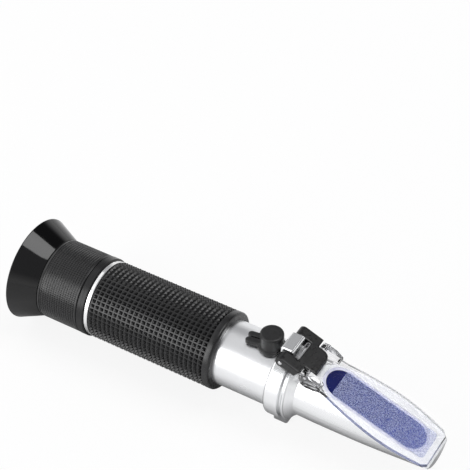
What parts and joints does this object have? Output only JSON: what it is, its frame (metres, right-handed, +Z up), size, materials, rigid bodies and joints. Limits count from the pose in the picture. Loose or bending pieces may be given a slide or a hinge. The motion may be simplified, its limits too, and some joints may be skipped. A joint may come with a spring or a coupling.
{
  "type": "brix refractometer",
  "caption": "Hand refractometer that reads sugar in a liquid: a drop goes on the slanted prism under a hinged clear plate, viewed through a focusing eyepiece.",
  "frame": {"origin": "bottom centre of the whole part, on the plane its foot and its eyecup rest on", "axes": "+X along the optical axis towards the prism tip, +Z up through the hinge lug, +Y to the left of someone looking into the eyepiece"},
  "size_m": [0.1688, 0.04, 0.04],
  "materials": {
    "satin_metal": "bright satin turned",
    "cast_metal": "bright satin cast",
    "pale_trim": "polished",
    "grip_rubber": "matte",
    "ring_black": "satin",
    "soft_rubber": "glossy",
    "cap_rubber": "matte",
    "bracket_plastic": "matte",
    "clear_plastic": "clear moulded acrylic",
    "frosted_plastic": "frosted acrylic",
    "prism_glass": "polished optical glass, blue",
    "lens_glass": "polished optical glass",
    "seal_white": "matte",
    "bed_rubber": "matte",
    "black_metal": "black anodised",
    "brass_parts": "turned",
    "bimetal": "rolled strip",
    "steel": "bright"
  },
  "bodies": {
    "body": {"barrel_tube": "satin_metal", "trim_ring": "pale_trim", "grip_sleeve": "grip_rubber", "focus_collar": "black_metal", "focus_keeper": "black_metal", "reticle_mount": "black_metal", "reticle_glass": "lens_glass", "reticle_nut": "black_metal", "light_baffle": "black_metal", "bimetal_mount": "brass_parts", "bimetal_screws": "steel", "calibration_bush": "brass_parts", "hinge_collar": "cast_metal", "collar_screws": "steel", "hinge_pin": "steel", "prism_housing": "cast_metal", "prism": "prism_glass", "prism_seal": "seal_white", "prism_bed": "bed_rubber", "light_shield": "black_metal"},
    "focus": {"focus_ring": "ring_black", "eyecup": "soft_rubber"},
    "ocular": {"ocular_cell": "black_metal", "drive_pin": "steel", "eye_lens": "lens_glass", "field_lens": "lens_glass", "lens_spacer": "black_metal", "ocular_nut": "black_metal"},
    "objective": {"bimetal_strip": "bimetal", "objective_cell": "black_metal", "objective_lens": "lens_glass", "objective_nut": "black_metal"},
    "screw": {"calibration_screw": "brass_parts"},
    "cap": {"calibration_cap": "cap_rubber"},
    "bracket": {"hinge_bracket": "bracket_plastic", "leaf_spring": "steel", "plate_pivots": "steel"},
    "cover": {"daylight_plate": "clear_plastic", "diffuser_pad": "frosted_plastic"}
  },
  "joints": [
    {"name": "focus_turn", "type": "hinge", "parent": "body", "child": "focus", "pos_m": [-0.0651, 0, 0.02], "axis": [1, 0, 0], "range_deg": [-150, 150]},
    {"name": "ocular_slide", "type": "slide", "parent": "body", "child": "ocular", "axis": [-1, 0, 0], "range_m": [-0.0025, 0.0025]},
    {"name": "screw_turn", "type": "hinge", "parent": "body", "child": "screw", "pos_m": [0.018, 0, 0.0316], "axis": [0, 0, 1], "range_deg": [-270, 270]},
    {"name": "objective_tilt", "type": "hinge", "parent": "body", "child": "objective", "pos_m": [-0.0109, 0, 0.02855], "axis": [0, 1, 0], "range_deg": [-1.6, 1.6]},
    {"name": "cap_pull", "type": "slide", "parent": "body", "child": "cap", "axis": [0, 0, 1], "range_m": [0, 0.003]},
    {"name": "bracket_hinge", "type": "hinge", "parent": "body", "child": "bracket", "pos_m": [0.0263, 0, 0.0367], "axis": [0, -1, 0], "range_deg": [0, 95]},
    {"name": "plate_pivot", "type": "hinge", "parent": "bracket", "child": "cover", "pos_m": [0.0359, 0, 0.0338], "axis": [0, -1, 0], "range_deg": [0, 116]}
  ],
  "couplings": [
    {"joint": "focus_turn", "follows": "ocular_slide", "rad_per_m": 1047},
    {"joint": "screw_turn", "follows": "objective_tilt", "ratio": -168}
  ]
}
